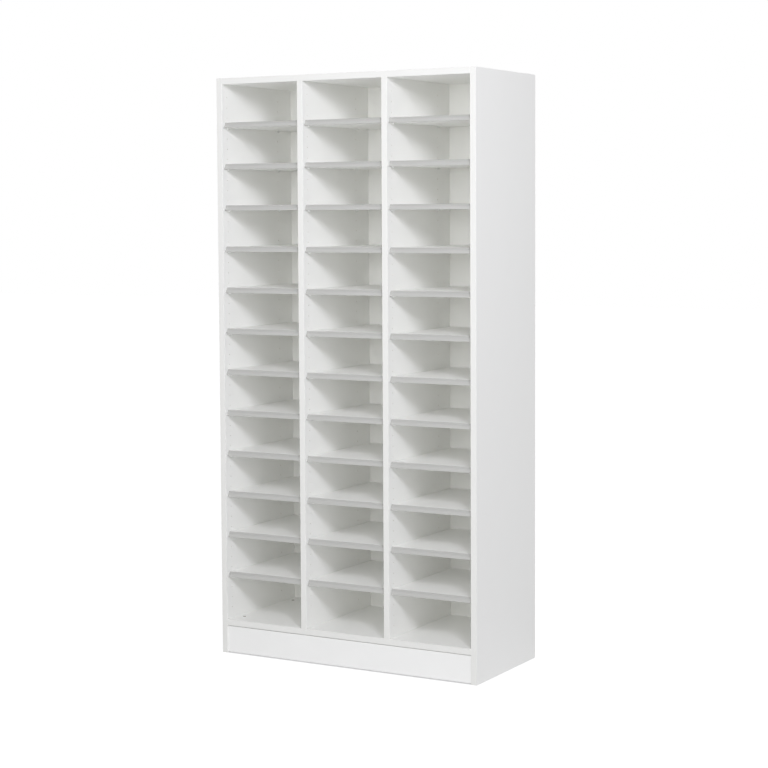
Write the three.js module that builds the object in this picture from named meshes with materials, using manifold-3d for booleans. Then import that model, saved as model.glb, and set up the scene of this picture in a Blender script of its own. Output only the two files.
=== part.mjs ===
// A free-standing pigeonhole mail sorter: a white board carcass in three columns, with loose shelves
// on pins, a label strip along the front of every shelf, and levelling feet behind the plinths.
// Millimetres. X runs to the right, Y to the back and Z up, from the middle of the base on the floor.
import * as THREE from "three";
import { mergeVertices } from "three/addons/utils/BufferGeometryUtils.js";
import Module from "manifold-3d";

// Carcass
const WIDTH = 900;
const DEPTH = 400;
const HEIGHT = 1800;
const BOARD = 19;
const BACK_BOARD = 4;
const COLUMNS = ["left", "middle", "right"];

// Plinths: the front one is set back from the front edges, and both stop short of the floor
const PLINTH_HEIGHT = 88;
const PLINTH_SETBACK = 4;
const REAR_PLINTH_SETBACK = 7;
const PLINTH_FLOOR_GAP = 3;

// Rows of pigeonholes: clear heights of the bottom one and the top one, and the others share the rest
const ROWS = 13;
const BOTTOM_CLEAR = 133.5;
const TOP_CLEAR = 116.5;

// Shelves: the label strip on the front leans back from its foot to the shelf's top edge
const SHELF = 16;
const SHELF_SIDE_GAP = 0.5;
const SHELF_BACK_GAP = 2;
const LABEL_FOOT_SETBACK = 9;
const LABEL_LEAN = 9;
const LABEL_LIP = 1.6;

// Shelf pins, in two upright rows on every face that carries shelves
const PIN_DIAMETER = 5;
const PIN_LENGTH = 9;
const PIN_INSERT = 8;
const PIN_FRONT_SETBACK = 28;
const PIN_REAR_SETBACK = 84;
const PIN_SEAT_GAP = 0.2;
const PIN_SIDES = 8;

// Levelling feet, drawn fully in, with their brackets and the key holes above them
const FOOT_SIDE_SETBACK = 24;
const FOOT_FRONT_SETBACK = 61;
const FOOT_REAR_SETBACK = 52;
const FOOT_FLOOR_GAP = 1;
const FOOT_PAD_DIAMETER = 30;
const FOOT_PAD_HEIGHT = 9;
const FOOT_PAD_CHAMFER = 3;
const FOOT_STUD_DIAMETER = 8;
const FOOT_STUD_GAP = 0.3;
const FOOT_STUD_SINK = 2;
const BRACKET_LENGTH = 40;
const BRACKET_HEIGHT = 30;
const KEY_HOLE_DIAMETER = 10;
const ROUND_SIDES = 16;

// Places worked out from the sizes above
const left = -WIDTH / 2;
const front = -DEPTH / 2;
const rear = DEPTH / 2;
const innerLeft = left + BOARD;
const innerRight = -innerLeft;
const innerRear = rear - BACK_BOARD;
const columnWidth = (innerRight - innerLeft - (COLUMNS.length - 1) * BOARD) / COLUMNS.length;
const floorTop = PLINTH_HEIGHT + BOARD;
const topUnder = HEIGHT - BOARD;
const shelfCount = ROWS - 1;
const firstShelf = floorTop + BOTTOM_CLEAR;
const lastShelf = topUnder - TOP_CLEAR - SHELF;
const shelfPitch = (lastShelf - firstShelf) / (shelfCount - 1);

const columnLeft = (column) => innerLeft + column * (columnWidth + BOARD);
const shelfUnder = (row) => firstShelf + row * shelfPitch;

const whiteBoard = new THREE.MeshStandardMaterial({ color: 0xf0f0ee, roughness: 0.5, metalness: 0 });
const whiteBack = new THREE.MeshStandardMaterial({ color: 0xe9e9e6, roughness: 0.6, metalness: 0 });
const shelfBoard = new THREE.MeshStandardMaterial({ color: 0xe6e6e4, roughness: 0.5, metalness: 0 });
const zincSteel = new THREE.MeshStandardMaterial({ color: 0xa9abad, roughness: 0.35, metalness: 0.9 });
const blackPlastic = new THREE.MeshStandardMaterial({ color: 0x1d1e20, roughness: 0.6, metalness: 0 });

const wasm = await Module();
wasm.setup();

// Solids for joining, from closed geometry and back
function toSolid(geometry) {
  const plain = geometry.clone();
  plain.deleteAttribute("normal");
  plain.deleteAttribute("uv");
  const merged = mergeVertices(plain);
  return new wasm.Manifold(
    new wasm.Mesh({
      numProp: 3,
      vertProperties: new Float32Array(merged.attributes.position.array),
      triVerts: new Uint32Array(merged.index.array),
    }),
  );
}

function toGeometry(solid) {
  const mesh = solid.getMesh();
  const geometry = new THREE.BufferGeometry();
  geometry.setAttribute("position", new THREE.BufferAttribute(mesh.vertProperties, 3));
  geometry.setIndex(new THREE.BufferAttribute(mesh.triVerts, 1));
  geometry.computeVertexNormals();
  return geometry;
}

// A board between two opposite corners
function board(low, high) {
  const size = high.map((value, axis) => value - low[axis]);
  const middle = high.map((value, axis) => (value + low[axis]) / 2);
  return new THREE.BoxGeometry(...size).translate(...middle);
}

// A flat outline with round holes, as thick as given, from z = 0 upwards
function drilledPlate(x0, x1, y0, y1, thickness, holes) {
  const outline = new THREE.Shape();
  outline.moveTo(x0, y0);
  outline.lineTo(x1, y0);
  outline.lineTo(x1, y1);
  outline.lineTo(x0, y1);
  outline.closePath();
  for (const { x, y, diameter } of holes) {
    outline.holes.push(new THREE.Path().absarc(x, y, diameter / 2, 0, 2 * Math.PI, true));
  }
  return new THREE.ExtrudeGeometry(outline, {
    depth: thickness,
    bevelEnabled: false,
    curveSegments: ROUND_SIDES,
  });
}

// One shelf pin along X, pushed into the board at x and standing out of it towards side, 1 or -1
function pin(x, y, under, side) {
  const halfTurn = Math.PI / PIN_SIDES;
  const flat = (PIN_DIAMETER / 2) * Math.cos(halfTurn);
  const length = PIN_LENGTH + PIN_INSERT;
  return new THREE.CylinderGeometry(PIN_DIAMETER / 2, PIN_DIAMETER / 2, length, PIN_SIDES)
    .rotateY(halfTurn)
    .rotateZ(Math.PI / 2)
    .translate(x + (side * (PIN_LENGTH - PIN_INSERT)) / 2, y, under - PIN_SEAT_GAP - flat);
}

// An upright panel with the shelf pins in each of the faces that carry shelves
function pinnedPanel(low, high, sides) {
  let solid = toSolid(board(low, high));
  for (const side of sides) {
    const face = side > 0 ? high[0] : low[0];
    for (let row = 0; row < shelfCount; row++) {
      for (const y of [front + PIN_FRONT_SETBACK, rear - PIN_REAR_SETBACK]) {
        solid = solid.add(toSolid(pin(face, y, shelfUnder(row), side)));
      }
    }
  }
  return toGeometry(solid);
}

const sorter = new THREE.Group();

function addPart(name, geometry, material, place = [0, 0, 0]) {
  const mesh = new THREE.Mesh(geometry, material);
  mesh.name = name;
  mesh.position.set(...place);
  sorter.add(mesh);
}

// Side panels and dividers
const sidePanel = (x, side) => pinnedPanel([x, front, 0], [x + BOARD, rear, HEIGHT], [side]);
addPart("side_panel_left", sidePanel(left, 1), whiteBoard);
addPart("side_panel_right", sidePanel(innerRight, -1), whiteBoard);
for (let column = 1; column < COLUMNS.length; column++) {
  const x = columnLeft(column);
  const low = [x - BOARD, front, floorTop];
  const high = [x, innerRear, topUnder];
  const name = ["divider", COLUMNS[column - 1], COLUMNS[column]].join("_");
  addPart(name, pinnedPanel(low, high, [-1, 1]), whiteBoard);
}

// Top, bottom and back panels. The bottom panel has a key hole above every foot
const feet = [];
for (const [end, y] of [["front", front + FOOT_FRONT_SETBACK], ["rear", rear - FOOT_REAR_SETBACK]]) {
  feet.push({ name: end + "_left", x: innerLeft + FOOT_SIDE_SETBACK, y });
  feet.push({ name: end + "_right", x: innerRight - FOOT_SIDE_SETBACK, y });
}
const keyHoles = feet.map(({ x, y }) => ({ x, y, diameter: KEY_HOLE_DIAMETER }));
const bottomPanel = drilledPlate(innerLeft, innerRight, front, innerRear, BOARD, keyHoles);
addPart("bottom_panel", bottomPanel, whiteBoard, [0, 0, PLINTH_HEIGHT]);
addPart("top_panel", board([innerLeft, front, topUnder], [innerRight, innerRear, HEIGHT]), whiteBoard);
addPart("back_panel", board([innerLeft, innerRear, PLINTH_HEIGHT], [innerRight, rear, HEIGHT]), whiteBack);

// Plinths
const plinth = (y) =>
  board([innerLeft, y, PLINTH_FLOOR_GAP], [innerRight, y + BOARD, PLINTH_HEIGHT]);
addPart("plinth_front", plinth(front + PLINTH_SETBACK), whiteBoard);
addPart("plinth_rear", plinth(rear - REAR_PLINTH_SETBACK - BOARD), whiteBoard);

// Shelves: one section along X, seen from the right side, with the leaning label strip at the front
const labelFoot = front + LABEL_FOOT_SETBACK;
const labelTop = labelFoot + LABEL_LEAN;
const section = new THREE.Shape();
section.moveTo(innerRear - SHELF_BACK_GAP, 0);
section.lineTo(innerRear - SHELF_BACK_GAP, SHELF);
section.lineTo(labelTop, SHELF);
section.lineTo(labelFoot, LABEL_LIP);
section.lineTo(labelFoot, 0);
section.closePath();
const shelfWidth = columnWidth - 2 * SHELF_SIDE_GAP;
const alongX = new THREE.Matrix4().makeBasis(
  new THREE.Vector3(0, 1, 0),
  new THREE.Vector3(0, 0, 1),
  new THREE.Vector3(1, 0, 0),
);
const shelf = new THREE.ExtrudeGeometry(section, { depth: shelfWidth, bevelEnabled: false });
shelf.applyMatrix4(alongX);
COLUMNS.forEach((column, index) => {
  for (let row = 0; row < shelfCount; row++) {
    const number = String(row + 1).padStart(2, "0");
    const place = [columnLeft(index) + SHELF_SIDE_GAP, 0, shelfUnder(row)];
    addPart("shelf_" + column + "_" + number, shelf, shelfBoard, place);
  }
});

// Levelling feet and their brackets, which sit under the bottom panel against the side panels
const bracketHalf = FOOT_SIDE_SETBACK;
const studHole = { x: 0, y: 0, diameter: FOOT_STUD_DIAMETER + 2 * FOOT_STUD_GAP };
const bracket = drilledPlate(
  -bracketHalf,
  bracketHalf,
  -BRACKET_LENGTH / 2,
  BRACKET_LENGTH / 2,
  BRACKET_HEIGHT,
  [studHole],
);
const padRadius = FOOT_PAD_DIAMETER / 2;
const studRadius = FOOT_STUD_DIAMETER / 2;
const footTop = PLINTH_HEIGHT - FOOT_STUD_SINK - FOOT_FLOOR_GAP;
const footProfile = [
  [0, 0],
  [padRadius, 0],
  [padRadius, FOOT_PAD_HEIGHT - FOOT_PAD_CHAMFER],
  [padRadius - FOOT_PAD_CHAMFER, FOOT_PAD_HEIGHT],
  [studRadius, FOOT_PAD_HEIGHT],
  [studRadius, footTop],
  [0, footTop],
].map(([radius, z]) => new THREE.Vector2(radius, z));
const foot = new THREE.LatheGeometry(footProfile, ROUND_SIDES).rotateX(Math.PI / 2);
for (const { name, x, y } of feet) {
  addPart("foot_bracket_" + name, bracket, blackPlastic, [x, y, PLINTH_HEIGHT - BRACKET_HEIGHT]);
  addPart("foot_" + name, foot, zincSteel, [x, y, FOOT_FLOOR_GAP]);
}

export default sorter;
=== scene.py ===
import math
from collections import namedtuple

import bmesh
import bpy
from mathutils import Matrix, Vector
from mathutils.geometry import delaunay_2d_cdt


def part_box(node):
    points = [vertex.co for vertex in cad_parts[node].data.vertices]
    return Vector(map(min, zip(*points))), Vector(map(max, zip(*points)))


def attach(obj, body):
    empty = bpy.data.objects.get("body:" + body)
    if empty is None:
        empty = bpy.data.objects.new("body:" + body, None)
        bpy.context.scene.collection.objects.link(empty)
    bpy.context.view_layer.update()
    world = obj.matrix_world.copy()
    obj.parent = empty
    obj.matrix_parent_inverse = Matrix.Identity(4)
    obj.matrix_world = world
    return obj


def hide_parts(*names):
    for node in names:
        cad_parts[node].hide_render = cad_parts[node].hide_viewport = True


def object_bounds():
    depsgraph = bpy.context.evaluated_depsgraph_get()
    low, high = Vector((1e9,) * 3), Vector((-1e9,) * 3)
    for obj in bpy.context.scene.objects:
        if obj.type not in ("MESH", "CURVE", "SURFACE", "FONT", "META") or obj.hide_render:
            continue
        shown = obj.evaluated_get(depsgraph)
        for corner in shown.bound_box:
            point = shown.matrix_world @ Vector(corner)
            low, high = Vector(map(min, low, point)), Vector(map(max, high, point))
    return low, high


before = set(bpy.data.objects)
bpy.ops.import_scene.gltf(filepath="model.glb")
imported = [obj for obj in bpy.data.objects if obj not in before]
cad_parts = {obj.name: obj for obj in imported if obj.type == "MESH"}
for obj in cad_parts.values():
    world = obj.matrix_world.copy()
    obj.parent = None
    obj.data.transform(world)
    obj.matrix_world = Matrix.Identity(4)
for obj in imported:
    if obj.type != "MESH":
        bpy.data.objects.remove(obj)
cad_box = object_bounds()

MM = 0.001
X, Y, Z = 0, 1, 2
COLUMNS = ("left", "middle", "right")
ROWS = range(1, 13)
DIVIDERS = ("divider_left_middle", "divider_middle_right")
FEET = ("front_left", "front_right", "rear_left", "rear_right")

# Boards
EDGE_RADIUS = 1.0 * MM
SHELF_EDGE_RADIUS = 0.6 * MM
BACK_EDGE_RADIUS = 0.3 * MM
PLINTH_JOINT = 2.2 * MM
EDGE_STEPS = 3
ROUND_PROFILE = 0.5
FRONT_NORMAL_Y = -0.5
SMOOTH_ANGLE = math.radians(30)
WELD_DISTANCE = 1e-7

# Pin holes, in two upright rows on every face that carries shelves
HOLE_DIAMETER = 3.0 * MM
HOLE_DEPTH = 8.5 * MM
HOLE_PITCH = 32 * MM
HOLE_END_MARGIN = 30 * MM
HOLE_SIDES = 12
ROW_FRONT_SETBACK = 28 * MM
ROW_REAR_SETBACK = 84 * MM

# Shelf pins: a stud with a thin collar against the wall, its centre a drop below the shelf's underside
PIN_RADIUS = 2.4 * MM
PIN_LENGTH = 9 * MM
PIN_TIP = 0.5 * MM
PIN_INSERT = 8 * MM
PIN_INSERT_RADIUS = 1.4 * MM
PIN_DROP = 2.51 * MM
COLLAR_RADIUS = 3.0 * MM
COLLAR_THICKNESS = 0.35 * MM
SHELF_SIDE_GAP = 0.5 * MM
ROUND_SIDES = 16

# Label strips: a leaning front plate with two lips, on a web that meets the shelf's front edge
STRIP_LEAN = 9 * MM
STRIP_WEB = 1.6 * MM
STRIP_DEPTH = 10.7 * MM
STRIP_FRONT_WALL = 1.5 * MM
STRIP_FOOT_LIP = 2.2 * MM
STRIP_TOP_LIP = 7 * MM
STRIP_RECESS = 0.8 * MM
STRIP_EDGE_RADIUS = 0.15 * MM
STRIP_EDGE_STEPS = 2

# Screws that hold the back panel, sunk just under its face
SCREW_RADIUS = 3.4 * MM
SCREW_SINK = 0.15 * MM
SCREW_HOLE_DEPTH = 1.3 * MM
SCREW_HOLE_GAP = 0.2 * MM
SCREW_EDGE = 0.2 * MM
SCREW_CROSS_REACH = 1.9 * MM
SCREW_CROSS_WIDTH = 0.8 * MM
SCREW_CROSS_DEPTH = 0.7 * MM
SCREWS_PER_BOARD = 7
SCREW_END_MARGIN = 60 * MM

# Levelling feet
KEY_HOLE_DIAMETER = 10 * MM
STUD_DIAMETER = 8 * MM
STUD_HOLE_DIAMETER = 8.6 * MM
THREAD_PITCH = 1.25 * MM
THREAD_DEPTH = 0.5 * MM
PAD_HEIGHT = 9 * MM
PAD_CHAMFER = 3 * MM
PAD_EDGE = 1 * MM
BRACKET_RADIUS = 1.5 * MM

# Camera, fitted to the photograph's edges; pixels are in its 768 by 768 frame
FRAME_PIXELS = 768
FOCAL_PIXELS = 1906.7
SENSOR = 36.0
CAMERA_PLACE = Vector((2.9491, -5.1064, 1.3898))
CAMERA_YAW = math.radians(29.766)
CAMERA_PITCH = math.radians(-4.063)
CAMERA_ROLL = math.radians(0.295)
CAMERA_SHIFT_Y = -0.0495

# Light: three soft boxes, white surroundings, and a floor that shows white
KEY_PLACE = Vector((3.0, -3.3, 2.8))
KEY_AIM = Vector((-0.3, -0.2, 1.8))
KEY_SIZE = 0.9
KEY_SPREAD = math.radians(120)
KEY_POWER = 44.0
FILL_PLACE = Vector((0.6, -5.0, 2.0))
FILL_AIM = Vector((0.0, -0.2, 1.9))
FILL_SIZE = 1.5
FILL_SPREAD = math.radians(90)
FILL_POWER = 15.2
LOW_PLACE = Vector((0.3, -4.5, 0.8))
LOW_AIM = Vector((0.0, -0.2, 0.6))
LOW_SIZE = 2.0
LOW_SPREAD = math.radians(180)
LOW_POWER = 13.3
LAMP_COLOUR = (0.939, 0.939, 1.0)
AMBIENT = 0.505
LIGHT_BOUNCES = 12
WHITE = (1.0, 1.0, 1.0, 1.0)
FLOOR_SIZE = 40.0
FLOOR_COLOUR = (0.86, 0.86, 0.86, 1.0)
FLOOR_GLOW = 0.8
FLOOR_GLOW_UNDER = 0.3
FLOOR_GLOW_STRENGTH = 1.17

# The middle of a noise pattern, which is spread over a finish's range, and the pattern's octaves
NOISE_LOW = 0.3
NOISE_HIGH = 0.7
NOISE_DETAIL = 2.0

# Places in the list of a piece's finishes: a board's front edge and bores, and a label strip's top lip; the
# front edge and the top lip take darker copies of their finishes as painted shade
MAIN_FINISH = 0
FRONT_EDGE = 1
BORE_WALL = 2
TOP_LIP = 1

# A round hole along an axis, from the board's face on side 1 or -1. With no depth it goes right through
Bore = namedtuple("Bore", "axis side at diameter depth")


# Materials

def noise(tree, scale):
    """A noise pattern in the piece's own metres; scale is repeats per metre along X, Y and Z."""
    coordinates = tree.nodes.new("ShaderNodeTexCoord")
    mapping = tree.nodes.new("ShaderNodeMapping")
    pattern = tree.nodes.new("ShaderNodeTexNoise")
    mapping.inputs["Scale"].default_value = scale
    pattern.inputs["Scale"].default_value = 1.0
    pattern.inputs["Detail"].default_value = NOISE_DETAIL
    tree.links.new(coordinates.outputs["Object"], mapping.inputs["Vector"])
    tree.links.new(mapping.outputs["Vector"], pattern.inputs["Vector"])
    return pattern.outputs["Fac"]


def spread(tree, value, low, high):
    """Maps the middle of a pattern to a range of numbers, and what lies beyond it to the range's ends."""
    node = tree.nodes.new("ShaderNodeMapRange")
    node.inputs["From Min"].default_value = NOISE_LOW
    node.inputs["From Max"].default_value = NOISE_HIGH
    node.inputs["To Min"].default_value = low
    node.inputs["To Max"].default_value = high
    tree.links.new(value, node.inputs["Value"])
    return node.outputs["Result"]


def blend_colours(tree, value, first, second):
    """A colour between two, picked by a noise pattern."""
    node = tree.nodes.new("ShaderNodeValToRGB")
    node.color_ramp.elements[0].position = NOISE_LOW
    node.color_ramp.elements[0].color = (*first, 1.0)
    node.color_ramp.elements[1].position = NOISE_HIGH
    node.color_ramp.elements[1].color = (*second, 1.0)
    tree.links.new(value, node.inputs["Fac"])
    return node.outputs["Color"]


def even(scale):
    """The same noise scale along X, Y and Z."""
    return (scale, scale, scale)


def finish(name, colours, roughness, tone, grain, relief, metallic=0.0):
    """A surface with a varied tone and gloss, and a fine relief of a strength and a height.

    colours and roughness are ranges; tone and grain are the noise scales of the variation and the relief.
    """
    material = bpy.data.materials.new(name)
    material.use_nodes = True
    tree = material.node_tree
    shader = tree.nodes["Principled BSDF"]
    shader.inputs["Metallic"].default_value = metallic
    tone_pattern = noise(tree, tone)
    grain_pattern = noise(tree, grain)
    tree.links.new(blend_colours(tree, tone_pattern, *colours), shader.inputs["Base Color"])
    tree.links.new(spread(tree, tone_pattern, *roughness), shader.inputs["Roughness"])
    strength, height = relief
    bump = tree.nodes.new("ShaderNodeBump")
    bump.inputs["Strength"].default_value = strength
    bump.inputs["Distance"].default_value = height
    tree.links.new(grain_pattern, bump.inputs["Height"])
    tree.links.new(bump.outputs["Normal"], shader.inputs["Normal"])
    return material


def make_materials():
    """The sorter's finishes, by name."""
    board_skin = {
        "roughness": (0.42, 0.52),
        "tone": even(9),
        "grain": even(1100),
        "relief": (0.12, 0.06 * MM),
    }
    chips = {
        "roughness": (0.8, 0.95),
        "tone": even(900),
        "grain": even(700),
        "relief": (0.6, 0.3 * MM),
    }
    extruded = {
        "roughness": (0.34, 0.46),
        "tone": (4, 260, 260),
        "grain": (3, 1400, 1400),
        "relief": (0.10, 0.05 * MM),
    }
    return {
        "melamine": finish(
            "white_melamine", ((0.918, 0.919, 0.900), (0.930, 0.931, 0.912)), **board_skin
        ),
        # painted shade: the boards' front edges take a darker copy of the white, for less light on the front
        # faces
        "edge_band_painted_shade": finish(
            "white_edge_band",
            ((0.751, 0.752, 0.719), (0.763, 0.764, 0.731)),
            roughness=(0.36, 0.46),
            tone=even(14),
            grain=even(500),
            relief=(0.06, 0.04 * MM),
        ),
        # painted shade: the plinths take a darker copy of the white board
        "plinth": finish(
            "white_plinth_painted_shade", ((0.834, 0.835, 0.811), (0.846, 0.847, 0.823)), **board_skin
        ),
        "bore": finish("pale_bore", ((0.72, 0.69, 0.63), (0.80, 0.77, 0.71)), **chips),
        # painted shade: the chipboard core is darkened to draw the shade inside the key holes and screw
        # sinks
        "core": finish("chipboard_core_painted_shade", ((0.12, 0.09, 0.06), (0.20, 0.16, 0.11)), **chips),
        "back": finish(
            "white_back_board",
            ((0.918, 0.919, 0.886), (0.930, 0.931, 0.898)),
            roughness=(0.5, 0.6),
            tone=even(6),
            grain=even(700),
            relief=(0.12, 0.06 * MM),
        ),
        "strip": finish(
            "grey_label_strip", ((0.474, 0.474, 0.450), (0.500, 0.500, 0.476)), **extruded
        ),
        # painted shade: a darker grey on the label strips' top lips draws the shadow line along their top
        # edge
        "strip_lip_painted_shade": finish(
            "grey_label_strip_lip", ((0.434, 0.434, 0.412), (0.458, 0.458, 0.436)), **extruded
        ),
        "pin": finish(
            "pale_pin_plastic",
            ((0.82, 0.82, 0.80), (0.86, 0.86, 0.84)),
            roughness=(0.35, 0.45),
            tone=even(120),
            grain=even(1500),
            relief=(0.05, 0.03 * MM),
        ),
        "steel": finish(
            "zinc_steel",
            ((0.56, 0.57, 0.58), (0.68, 0.69, 0.70)),
            roughness=(0.28, 0.42),
            tone=even(220),
            grain=even(1500),
            relief=(0.08, 0.03 * MM),
            metallic=1.0,
        ),
        "black": finish(
            "black_plastic",
            ((0.010, 0.011, 0.012), (0.020, 0.021, 0.022)),
            roughness=(0.45, 0.6),
            tone=even(60),
            grain=even(1200),
            relief=(0.2, 0.06 * MM),
        ),
    }


def background_rays(tree):
    """1 for rays that show the surroundings themselves: from the camera, off gloss and through glass."""
    path = tree.nodes.new("ShaderNodeLightPath")
    total = path.outputs["Is Camera Ray"]
    for kind in ("Is Glossy Ray", "Is Transmission Ray"):
        add = tree.nodes.new("ShaderNodeMath")
        add.use_clamp = True
        tree.links.new(total, add.inputs[0])
        tree.links.new(path.outputs[kind], add.inputs[1])
        total = add.outputs["Value"]
    return total


# Solid shapes

def circle(centre, radius, sides):
    """Points of a circle on a plane, anticlockwise."""
    turns = [2 * math.pi * (i + 0.5) / sides for i in range(sides)]
    return [Vector((centre[0] + radius * math.cos(t), centre[1] + radius * math.sin(t))) for t in turns]


def bridge(bm, first, second, material=MAIN_FINISH):
    """Walls between two loops of corners, in the order of the loops."""
    walls = []
    for i in range(len(first)):
        j = (i + 1) % len(first)
        face = bm.faces.new((first[i], first[j], second[j], second[i]))
        face.material_index = material
        walls.append(face)
    return walls


def is_inside(point, loop):
    """True if a point of the plane is inside a loop of points."""
    inside = False
    for a, b in zip(loop, loop[1:] + loop[:1]):
        if (a.y > point.y) != (b.y > point.y):
            inside ^= point.x < a.x + (b.x - a.x) * (point.y - a.y) / (b.y - a.y)
    return inside


def fill(outline, loops):
    """Triangles of a flat plate with holes. Corners count through the outline and then through each loop."""
    points = []
    edges = []
    owner = []
    for number, ring in enumerate([outline, *loops]):
        start = len(points)
        points += ring
        owner += [number] * len(ring)
        edges += [(start + i, start + (i + 1) % len(ring)) for i in range(len(ring))]
    _, _, triangles, sources, _, _ = delaunay_2d_cdt(points, edges, [], 0, WELD_DISTANCE)
    kept = []
    for triangle in triangles:
        corners = [sources[i][0] for i in triangle]
        rings = {owner[i] for i in corners}
        middle = sum((points[i] for i in corners), Vector((0, 0))) / 3
        hole = next(iter(rings)) if len(rings) == 1 else 0
        if hole == 0 or not is_inside(middle, loops[hole - 1]):
            kept.append(corners)
    return kept


def drill_face(bm, axis, side, bores):
    """Opens the mouths of bores in one main face of a board, and gives the corners of each mouth."""
    bm.normal_update()
    face = max(bm.faces, key=lambda f: f.normal[axis] * side * f.calc_area())
    across = [i for i in (X, Y, Z) if i != axis]
    corners = list(face.verts)
    level = corners[0].co[axis]
    outline = [Vector((c.co[across[0]], c.co[across[1]])) for c in corners]
    loops = []
    mouths = []
    for bore in bores:
        loop = circle([bore.at[i] for i in across], bore.diameter / 2, HOLE_SIDES)
        mouth = []
        for point in loop:
            place = Vector((level, level, level))
            place[across[0]], place[across[1]] = point
            mouth.append(bm.verts.new(place))
        loops.append(loop)
        mouths.append(mouth)
    corners += [corner for mouth in mouths for corner in mouth]
    bm.faces.remove(face)
    for triangle in fill(outline, loops):
        bm.faces.new([corners[i] for i in triangle])
    return mouths


def board(low, high, radius=EDGE_RADIUS, bores=()):
    """A board with rounded edges and bores. Its front edge and its bores have finishes of their own; the
    front edge's darker white is painted shade.
    """
    bm = bmesh.new()
    bmesh.ops.create_cube(bm, size=1.0)
    size = high - low
    for corner in bm.verts:
        corner.co = low + Vector([(corner.co[i] + 0.5) * size[i] for i in (X, Y, Z)])
    bmesh.ops.bevel(
        bm, geom=bm.edges[:], offset=radius, segments=EDGE_STEPS, profile=ROUND_PROFILE, affect="EDGES"
    )
    bm.normal_update()
    for face in bm.faces:
        face.material_index = FRONT_EDGE if face.normal.y < FRONT_NORMAL_Y else MAIN_FINISH
    through = [bore for bore in bores if bore.depth is None]
    for axis, side in sorted({(bore.axis, bore.side) for bore in bores}):
        blind = [bore for bore in bores if (bore.axis, bore.side) == (axis, side) and bore.depth]
        if not blind:
            continue
        for bore, mouth in zip(blind, drill_face(bm, axis, side, blind)):
            inwards = Vector((0, 0, 0))
            inwards[axis] = -side * bore.depth
            bottom = [bm.verts.new(corner.co + inwards) for corner in mouth]
            bridge(bm, mouth, bottom, BORE_WALL)
            bm.faces.new(bottom).material_index = BORE_WALL
    if through:
        axis = through[0].axis
        for first, second in zip(drill_face(bm, axis, 1, through), drill_face(bm, axis, -1, through)):
            bridge(bm, first, second, BORE_WALL)
    return bm


def revolve(bm, origin, direction, profile):
    """Adds a round solid: profile holds distances along the direction and radii. Gives the last ring."""
    side = direction.orthogonal().normalized()
    up = direction.cross(side)
    rings = []
    for along, radius in profile:
        ring = []
        for point in circle((0, 0), radius, ROUND_SIDES):
            ring.append(bm.verts.new(origin + direction * along + side * point.x + up * point.y))
        rings.append(ring)
    for first, second in zip(rings, rings[1:]):
        bridge(bm, first, second)
    bm.faces.new(rings[0])
    return rings[-1]


def make_piece(name, bm, materials, body, stands_for=(), smooth=False):
    """Turns a shape into a piece that rides on a body, takes the given finishes and stands for solids."""
    bmesh.ops.recalc_face_normals(bm, faces=bm.faces[:])
    mesh = bpy.data.meshes.new(name)
    bm.to_mesh(mesh)
    bm.free()
    if smooth:
        mesh.shade_smooth()
        mesh.set_sharp_from_angle(angle=SMOOTH_ANGLE)
    for material in materials:
        mesh.materials.append(material)
    piece = bpy.data.objects.new(name, mesh)
    bpy.context.collection.objects.link(piece)
    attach(piece, body)
    if stands_for:
        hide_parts(*stands_for)


# Pieces

bottom_low, bottom_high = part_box("bottom_panel")
top_low, top_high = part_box("top_panel")
first_low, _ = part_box("shelf_left_01")
thickness = bottom_high.z - bottom_low.z
front = cad_box[0].y
rear = cad_box[1].y
first_pin = first_low.z - PIN_DROP
row_places = (front + ROW_FRONT_SETBACK, rear - ROW_REAR_SETBACK)


def hole_heights():
    """Heights of the pin holes, on a grid that passes through the lowest pin."""
    below = math.floor((first_pin - bottom_high.z - HOLE_END_MARGIN) / HOLE_PITCH)
    above = math.floor((top_low.z - HOLE_END_MARGIN - first_pin) / HOLE_PITCH)
    return [first_pin + step * HOLE_PITCH for step in range(-below, above + 1)]


def pin_holes(side):
    """Both rows of pin holes in the face of an upright panel that looks towards side, 1 or -1."""
    places = [Vector((0, y, z)) for y in row_places for z in hole_heights()]
    return [Bore(X, side, place, HOLE_DIAMETER, HOLE_DEPTH) for place in places]


def make_upright(name, low_x, sides, finishes):
    """A side panel or a divider, drilled on the sides that carry shelves."""
    low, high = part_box(name)
    low.x = low_x
    high.x = low_x + thickness
    bores = [bore for side in sides for bore in pin_holes(side)]
    skin = [finishes["melamine"], finishes["edge_band_painted_shade"], finishes["bore"]]
    bm = board(low, high, EDGE_RADIUS, bores)
    make_piece(name + "_board", bm, skin, "cabinet", [name])


def make_carcass(finishes):
    """The upright panels, the top, the bottom with its key holes, and both plinths."""
    # the key holes show the darkened core, painted shade
    skin = [finishes["melamine"], finishes["edge_band_painted_shade"], finishes["core"]]
    make_upright("side_panel_left", cad_box[0].x, [1], finishes)
    make_upright("side_panel_right", cad_box[1].x - thickness, [-1], finishes)
    for name in DIVIDERS:
        low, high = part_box(name)
        make_upright(name, (low.x + high.x - thickness) / 2, [-1, 1], finishes)
    make_piece("top_panel_board", board(top_low, top_high), skin, "cabinet", ["top_panel"])
    keys = []
    for foot in FEET:
        low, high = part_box("foot_" + foot)
        keys.append(Bore(Z, 1, (low + high) / 2, KEY_HOLE_DIAMETER, None))
    bm = board(bottom_low, bottom_high, EDGE_RADIUS, keys)
    make_piece("bottom_panel_board", bm, skin, "cabinet", ["bottom_panel"])
    for name in ("plinth_front", "plinth_rear"):
        low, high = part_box(name)
        high.z -= PLINTH_JOINT
        bm = board(low, high)
        # the plinths' darker white is painted shade
        make_piece(name + "_board", bm, [finishes["plinth"]] * 2, "cabinet", [name])


def spaced(first, last, count):
    """Evenly spaced numbers from first to last."""
    return [first + (last - first) * i / (count - 1) for i in range(count)]


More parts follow.
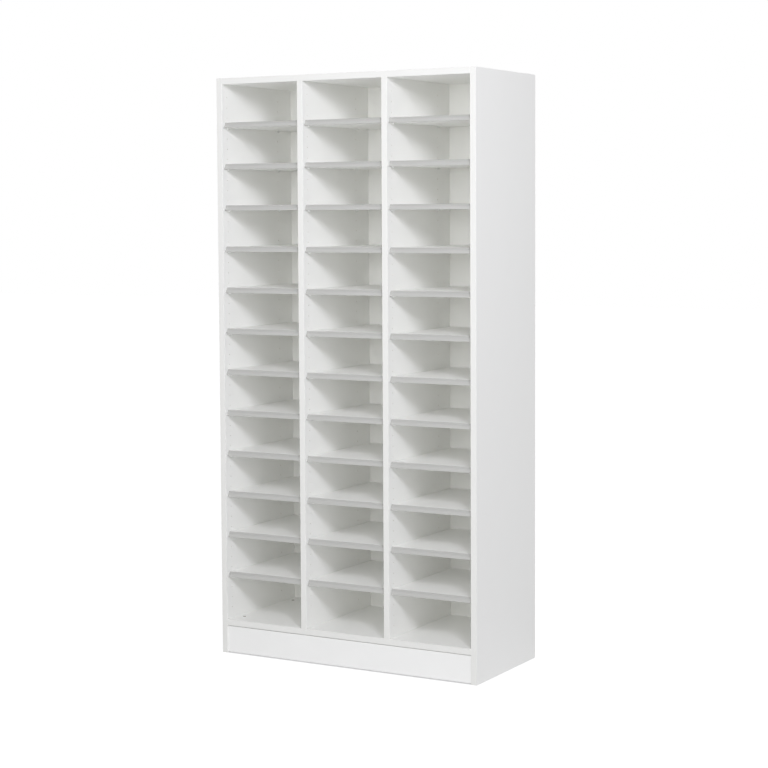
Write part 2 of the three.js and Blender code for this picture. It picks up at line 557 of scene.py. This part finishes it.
def screw_places():
    """Points on the back panel's rear face, along the dividers and along the top and bottom panels."""
    places = []
    for name in DIVIDERS:
        low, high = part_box(name)
        for z in spaced(low.z + SCREW_END_MARGIN, high.z - SCREW_END_MARGIN, SCREWS_PER_BOARD):
            places.append(Vector(((low.x + high.x) / 2, rear, z)))
    for low, high in (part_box("top_panel"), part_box("bottom_panel")):
        for x in spaced(low.x + SCREW_END_MARGIN, high.x - SCREW_END_MARGIN, SCREWS_PER_BOARD):
            places.append(Vector((x, rear, (low.z + high.z) / 2)))
    return places


def add_screw_head(bm, place):
    """A flat screw head with a cross recess, sunk just under the face at place and looking to the back."""
    back = Vector((0, 1, 0))
    bottom = place - back * SCREW_HOLE_DEPTH
    face = SCREW_HOLE_DEPTH - SCREW_SINK
    profile = [(0, SCREW_RADIUS), (face - SCREW_EDGE, SCREW_RADIUS), (face, SCREW_RADIUS - SCREW_EDGE)]
    rim = revolve(bm, bottom, back, profile)
    reach, half = SCREW_CROSS_REACH, SCREW_CROSS_WIDTH / 2
    quarter = [Vector((half, half)), Vector((half, reach)), Vector((-half, reach))]
    cross = []
    for turn in range(4):
        spin = Matrix.Rotation(turn * math.pi / 2, 2)
        cross += [spin @ point for point in quarter]
    level = rim[0].co.y
    mouth = [bm.verts.new((place.x + p.x, level, place.z + p.y)) for p in cross]
    floor = [bm.verts.new(corner.co - back * SCREW_CROSS_DEPTH) for corner in mouth]
    corners = rim + mouth
    outline = [Vector((corner.co.x - place.x, corner.co.z - place.z)) for corner in rim]
    for triangle in fill(outline, [cross]):
        bm.faces.new([corners[i] for i in triangle])
    bridge(bm, mouth, floor)
    bm.faces.new(floor)


def make_back(finishes):
    """The back panel with its sunk screws."""
    places = screw_places()
    low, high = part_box("back_panel")
    width = 2 * (SCREW_RADIUS + SCREW_HOLE_GAP)
    sinks = [Bore(Y, 1, place, width, SCREW_HOLE_DEPTH) for place in places]
    bm = board(low, high, BACK_EDGE_RADIUS, sinks)
    # the screw sinks show the darkened core, painted shade
    skin = [finishes["back"], finishes["back"], finishes["core"]]
    make_piece("back_panel_board", bm, skin, "cabinet", ["back_panel"])
    bm = bmesh.new()
    for place in places:
        add_screw_head(bm, place)
    make_piece("back_panel_screws", bm, [finishes["steel"]], "cabinet")


def make_shelf(name, finishes):
    """One loose shelf: the board, and the label strip along its front edge, whose top lip is a darker grey
    as painted shade.
    """
    low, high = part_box(name)
    back = low.y + STRIP_DEPTH
    skin = [finishes["melamine"], finishes["edge_band_painted_shade"]]
    bm = board(Vector((low.x, back, low.z)), high, SHELF_EDGE_RADIUS)
    make_piece(name + "_board", bm, skin, name, [name])

    foot = Vector((low.y, low.z + STRIP_WEB))
    top = Vector((low.y + STRIP_LEAN, high.z))
    length = (top - foot).length
    along = (top - foot).normalized()
    inwards = Vector((along.y, -along.x))
    low_lip = foot + along * STRIP_FOOT_LIP
    high_lip = foot + along * (length - STRIP_TOP_LIP)
    section = [
        Vector((low.y, low.z)),
        foot,
        low_lip,
        low_lip + inwards * STRIP_RECESS,
        high_lip + inwards * STRIP_RECESS,
        high_lip,
        top,
        top + Vector((STRIP_FRONT_WALL, 0)),
        foot + Vector((STRIP_FRONT_WALL, 0)),
        Vector((back, foot.y)),
        Vector((back, low.z)),
    ]
    bm = bmesh.new()
    ends = [[bm.verts.new((x, point.x, point.y)) for point in section] for x in (low.x, high.x)]
    walls = bridge(bm, *ends)
    # the top lip takes the darker grey, a painted shadow line
    walls[section.index(high_lip)].material_index = TOP_LIP
    long_edges = [edge for edge in bm.edges if abs(edge.verts[0].co.x - edge.verts[1].co.x) > STRIP_DEPTH]
    for end in ends:
        bm.faces.new(end)
    bmesh.ops.bevel(
        bm, geom=long_edges, offset=STRIP_EDGE_RADIUS, segments=STRIP_EDGE_STEPS, profile=ROUND_PROFILE,
        affect="EDGES",
    )
    skin = [finishes["strip"], finishes["strip_lip_painted_shade"]]
    make_piece(name.replace("shelf", "label_strip"), bm, skin, name, [name])


def make_shelves(finishes):
    """Twelve shelves in each column."""
    for column in COLUMNS:
        for row in ROWS:
            make_shelf(f"shelf_{column}_{row:02d}", finishes)


def make_pins(finishes):
    """Four pins under every shelf, in one piece for each wall of a column."""
    profile = [
        (-PIN_INSERT, PIN_INSERT_RADIUS),
        (0, PIN_INSERT_RADIUS),
        (0, COLLAR_RADIUS),
        (COLLAR_THICKNESS, COLLAR_RADIUS),
        (COLLAR_THICKNESS, PIN_RADIUS),
        (PIN_LENGTH - PIN_TIP, PIN_RADIUS),
        (PIN_LENGTH, PIN_RADIUS - PIN_TIP),
    ]
    for column in COLUMNS:
        for wall, side in (("left", 1), ("right", -1)):
            bm = bmesh.new()
            for row in ROWS:
                low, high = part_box(f"shelf_{column}_{row:02d}")
                face = low.x - SHELF_SIDE_GAP if side > 0 else high.x + SHELF_SIDE_GAP
                for y in row_places:
                    origin = Vector((face, y, low.z - PIN_DROP))
                    tip = revolve(bm, origin, Vector((side, 0, 0)), profile)
                    bm.faces.new(tip)
            name = f"shelf_pins_{column}_column_{wall}"
            make_piece(name, bm, [finishes["pin"]], "cabinet", smooth=True)


def foot_profile(pad, length):
    """Heights and radii of a foot: a pad of the given radius, and a stud with a thread up to its end."""
    stud = STUD_DIAMETER / 2
    core = stud - THREAD_DEPTH
    profile = [
        (0, pad - PAD_EDGE),
        (PAD_EDGE, pad),
        (PAD_HEIGHT - PAD_CHAMFER, pad),
        (PAD_HEIGHT, pad - PAD_CHAMFER),
        (PAD_HEIGHT, core),
    ]
    turns = math.floor((length - PAD_HEIGHT) / THREAD_PITCH)
    for turn in range(turns):
        start = PAD_HEIGHT + turn * THREAD_PITCH
        profile.append((start + THREAD_PITCH / 2, stud))
        profile.append((start + THREAD_PITCH, core))
    profile.append((length, core))
    return profile


def make_feet(finishes):
    """The levelling feet, each a pad on a threaded stud, and the blocks that they screw into."""
    for foot in FEET:
        name = "foot_" + foot
        low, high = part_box(name)
        bm = bmesh.new()
        origin = Vector(((low.x + high.x) / 2, (low.y + high.y) / 2, low.z))
        profile = foot_profile((high.x - low.x) / 2, high.z - low.z)
        tip = revolve(bm, origin, Vector((0, 0, 1)), profile)
        bm.faces.new(tip)
        make_piece(name + "_screw", bm, [finishes["steel"]], name, [name], smooth=True)

        holder = "foot_bracket_" + foot
        low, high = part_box(holder)
        stud_hole = Bore(Z, 1, origin, STUD_HOLE_DIAMETER, None)
        bm = board(low, high, BRACKET_RADIUS, [stud_hole])
        make_piece(holder + "_block", bm, [finishes["black"]] * 3, "cabinet", [holder])


# Surroundings, camera and light

def glow_share(tree):
    """The floor's share of glow: a small one under the sorter and the full one around it."""
    coordinates = tree.nodes.new("ShaderNodeTexCoord")
    split = tree.nodes.new("ShaderNodeSeparateXYZ")
    tree.links.new(coordinates.outputs["Object"], split.inputs["Vector"])
    outside = []
    for axis, reach in (("X", cad_box[1].x), ("Y", cad_box[1].y)):
        distance = tree.nodes.new("ShaderNodeMath")
        distance.operation = "ABSOLUTE"
        tree.links.new(split.outputs[axis], distance.inputs[0])
        beyond = tree.nodes.new("ShaderNodeMath")
        beyond.operation = "GREATER_THAN"
        beyond.inputs[1].default_value = reach
        tree.links.new(distance.outputs["Value"], beyond.inputs[0])
        outside.append(beyond.outputs["Value"])
    either = tree.nodes.new("ShaderNodeMath")
    either.operation = "MAXIMUM"
    tree.links.new(outside[0], either.inputs[0])
    tree.links.new(outside[1], either.inputs[1])
    return spread(tree, either.outputs["Value"], FLOOR_GLOW_UNDER, FLOOR_GLOW)


def make_floor():
    """A pale floor that shows as the white background and keeps a faint shadow."""
    bm = bmesh.new()
    bmesh.ops.create_grid(bm, x_segments=1, y_segments=1, size=FLOOR_SIZE / 2)
    mesh = bpy.data.meshes.new("floor")
    bm.to_mesh(mesh)
    bm.free()
    material = bpy.data.materials.new("pale_floor")
    material.use_nodes = True
    tree = material.node_tree
    diffuse = tree.nodes["Principled BSDF"]
    diffuse.inputs["Base Color"].default_value = FLOOR_COLOUR
    diffuse.inputs["Roughness"].default_value = 1.0
    diffuse.inputs["Specular IOR Level"].default_value = 0.0
    glow = tree.nodes.new("ShaderNodeEmission")
    glow.inputs["Strength"].default_value = FLOOR_GLOW_STRENGTH
    share = tree.nodes.new("ShaderNodeMath")
    share.operation = "MULTIPLY"
    tree.links.new(background_rays(tree), share.inputs[0])
    tree.links.new(glow_share(tree), share.inputs[1])
    mix = tree.nodes.new("ShaderNodeMixShader")
    tree.links.new(share.outputs["Value"], mix.inputs["Fac"])
    tree.links.new(diffuse.outputs["BSDF"], mix.inputs[1])
    tree.links.new(glow.outputs["Emission"], mix.inputs[2])
    tree.links.new(mix.outputs["Shader"], tree.nodes["Material Output"].inputs["Surface"])
    mesh.materials.append(material)
    floor = bpy.data.objects.new("floor", mesh)
    bpy.context.collection.objects.link(floor)


def make_world():
    """White surroundings that light the sorter softly from every side."""
    world = bpy.data.worlds.new("studio")
    bpy.context.scene.world = world
    world.use_nodes = True
    tree = world.node_tree
    ambient = tree.nodes["Background"]
    ambient.inputs["Color"].default_value = WHITE
    ambient.inputs["Strength"].default_value = AMBIENT
    shown = tree.nodes.new("ShaderNodeBackground")
    shown.inputs["Color"].default_value = WHITE
    mix = tree.nodes.new("ShaderNodeMixShader")
    tree.links.new(background_rays(tree), mix.inputs["Fac"])
    tree.links.new(ambient.outputs["Background"], mix.inputs[1])
    tree.links.new(shown.outputs["Background"], mix.inputs[2])
    tree.links.new(mix.outputs["Shader"], tree.nodes["World Output"].inputs["Surface"])


def make_lamp(name, place, aim, size, beam, power):
    """A square soft box with a beam of the given angle."""
    data = bpy.data.lights.new(name, "AREA")
    data.shape = "SQUARE"
    data.size = size
    data.spread = beam
    data.energy = power
    data.color = LAMP_COLOUR
    lamp = bpy.data.objects.new(name, data)
    lamp.location = place
    lamp.rotation_euler = (aim - place).to_track_quat("-Z", "Y").to_euler()
    lamp.visible_camera = False
    bpy.context.collection.objects.link(lamp)


def make_camera():
    """The photograph's camera."""
    data = bpy.data.cameras.new("camera")
    data.sensor_width = SENSOR
    data.lens = FOCAL_PIXELS / FRAME_PIXELS * SENSOR
    data.shift_y = CAMERA_SHIFT_Y
    camera = bpy.data.objects.new("camera", data)
    turn = (
        Matrix.Rotation(CAMERA_YAW, 4, "Z")
        @ Matrix.Rotation(math.pi / 2 + CAMERA_PITCH, 4, "X")
        @ Matrix.Rotation(-CAMERA_ROLL, 4, "Z")
    )
    camera.matrix_world = Matrix.Translation(CAMERA_PLACE) @ turn
    bpy.context.collection.objects.link(camera)
    bpy.context.scene.camera = camera


make_camera()
make_world()
make_lamp("key", KEY_PLACE, KEY_AIM, KEY_SIZE, KEY_SPREAD, KEY_POWER)
make_lamp("fill", FILL_PLACE, FILL_AIM, FILL_SIZE, FILL_SPREAD, FILL_POWER)
make_lamp("low", LOW_PLACE, LOW_AIM, LOW_SIZE, LOW_SPREAD, LOW_POWER)
make_floor()
all_finishes = make_materials()
make_carcass(all_finishes)
make_back(all_finishes)
make_shelves(all_finishes)
make_pins(all_finishes)
make_feet(all_finishes)
bpy.context.scene.cycles.diffuse_bounces = LIGHT_BOUNCES
bpy.context.scene.view_settings.view_transform = "Standard"
